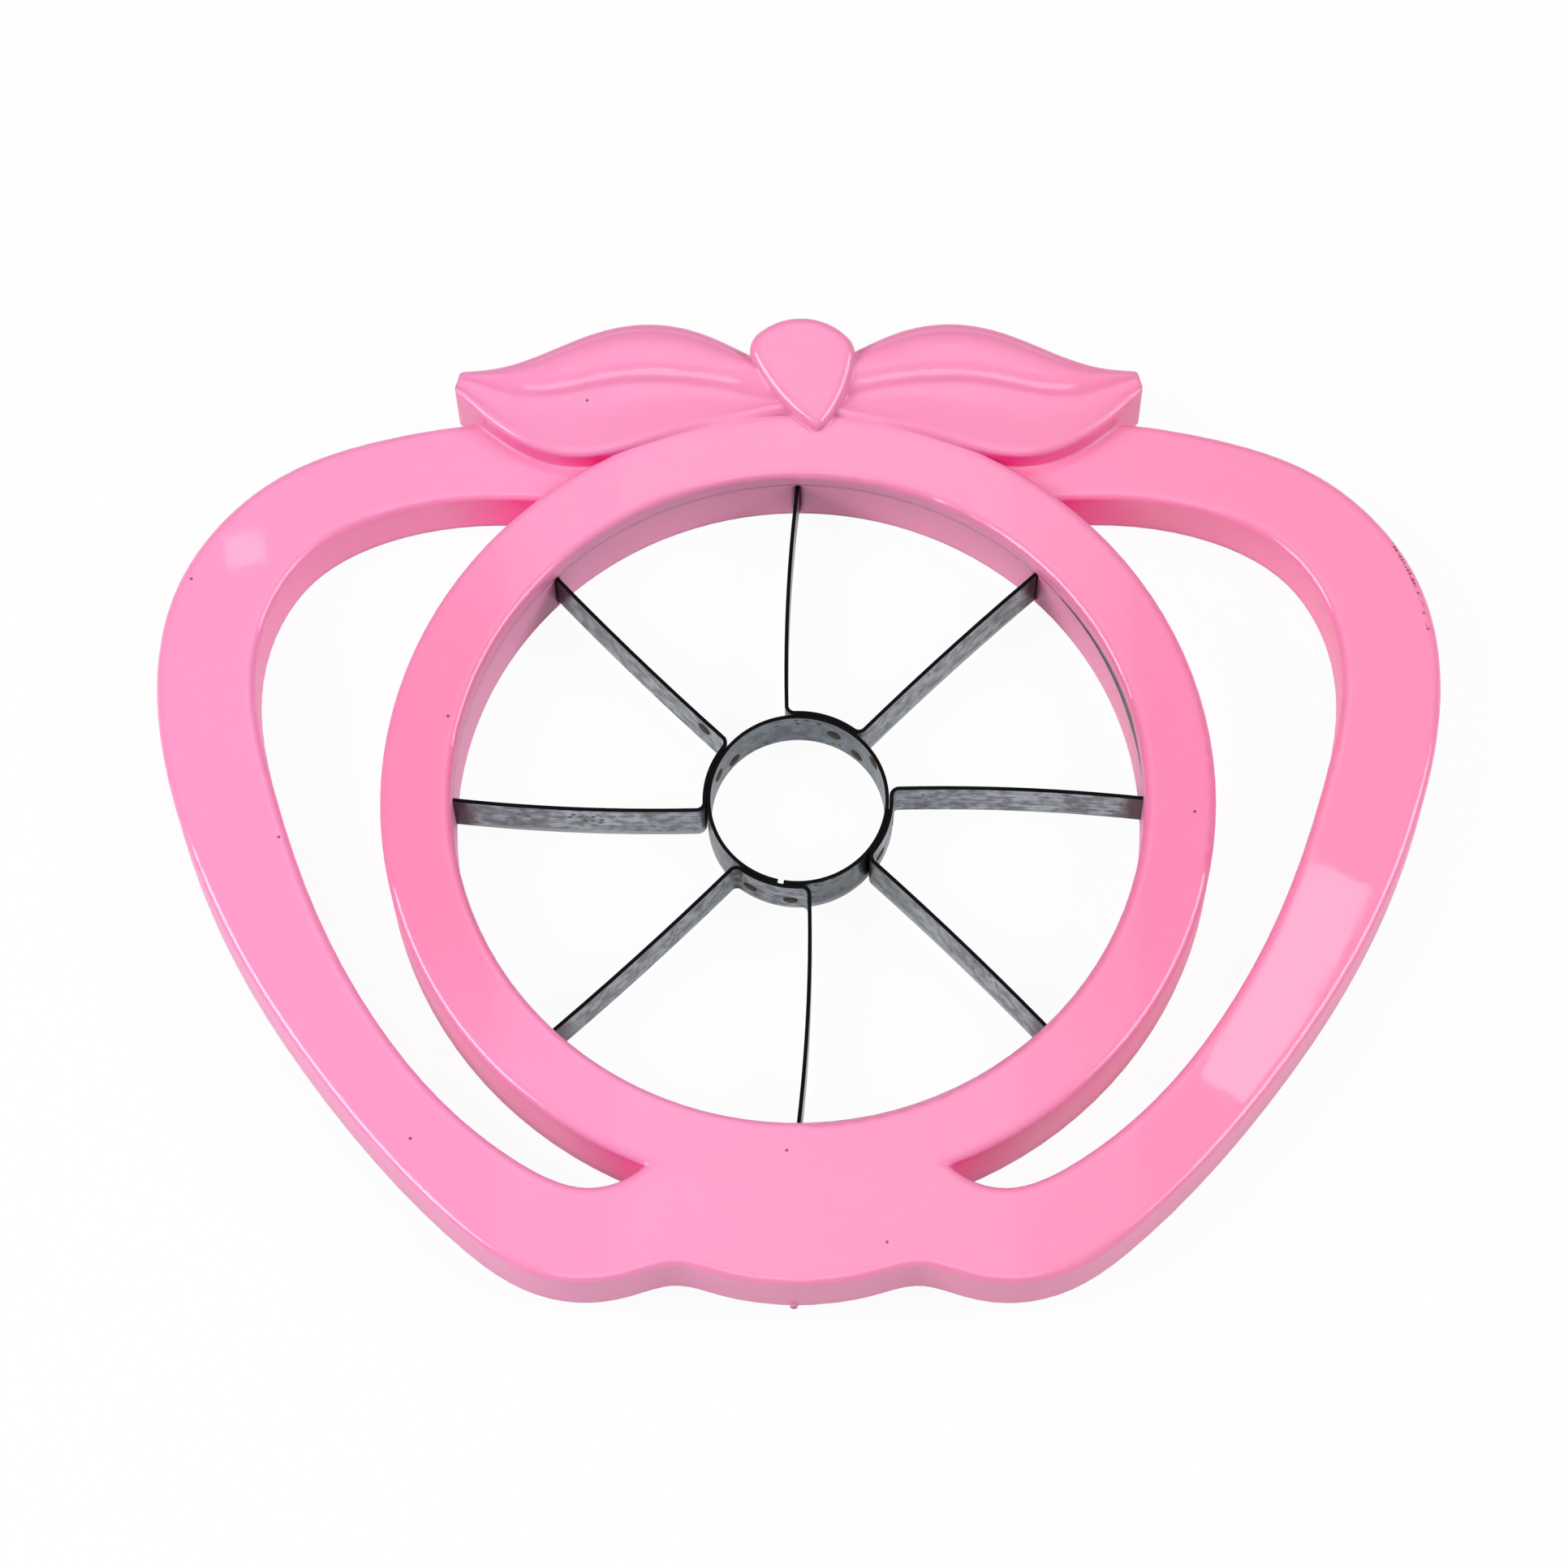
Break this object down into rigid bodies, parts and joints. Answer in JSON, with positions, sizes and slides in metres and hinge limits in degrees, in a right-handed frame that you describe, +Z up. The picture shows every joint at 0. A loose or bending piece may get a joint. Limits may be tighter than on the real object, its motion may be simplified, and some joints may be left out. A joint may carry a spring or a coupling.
{
  "type": "apple slicer",
  "caption": "Push-down apple slicer and corer: moulded apple-shaped frame with side grips, leaf and stem relief, radial steel blades round a core ring and a pegged clamp ring.",
  "frame": {"origin": "centre of the core ring's axis on the flat underside that the slicer stands on", "axes": "+Z up along the axis of the core ring, +X from grip to grip towards the right grip, +Y towards the leaves and stem"},
  "size_m": [0.1688, 0.1342, 0.0149],
  "materials": {
    "frame_plastic": "glossy moulded pink ABS",
    "clamp_plastic": "moulded pink ABS",
    "core_steel": "rolled stainless strip",
    "blade_steel": "rolled and bent stainless strip"
  },
  "bodies": {
    "root": {"handle_frame": "frame_plastic", "blade_clamp_ring": "clamp_plastic", "core_ring": "core_steel", "blade_strip_back": "blade_steel", "blade_strip_left": "blade_steel", "blade_strip_front": "blade_steel", "blade_strip_right": "blade_steel"}
  },
  "joints": []
}
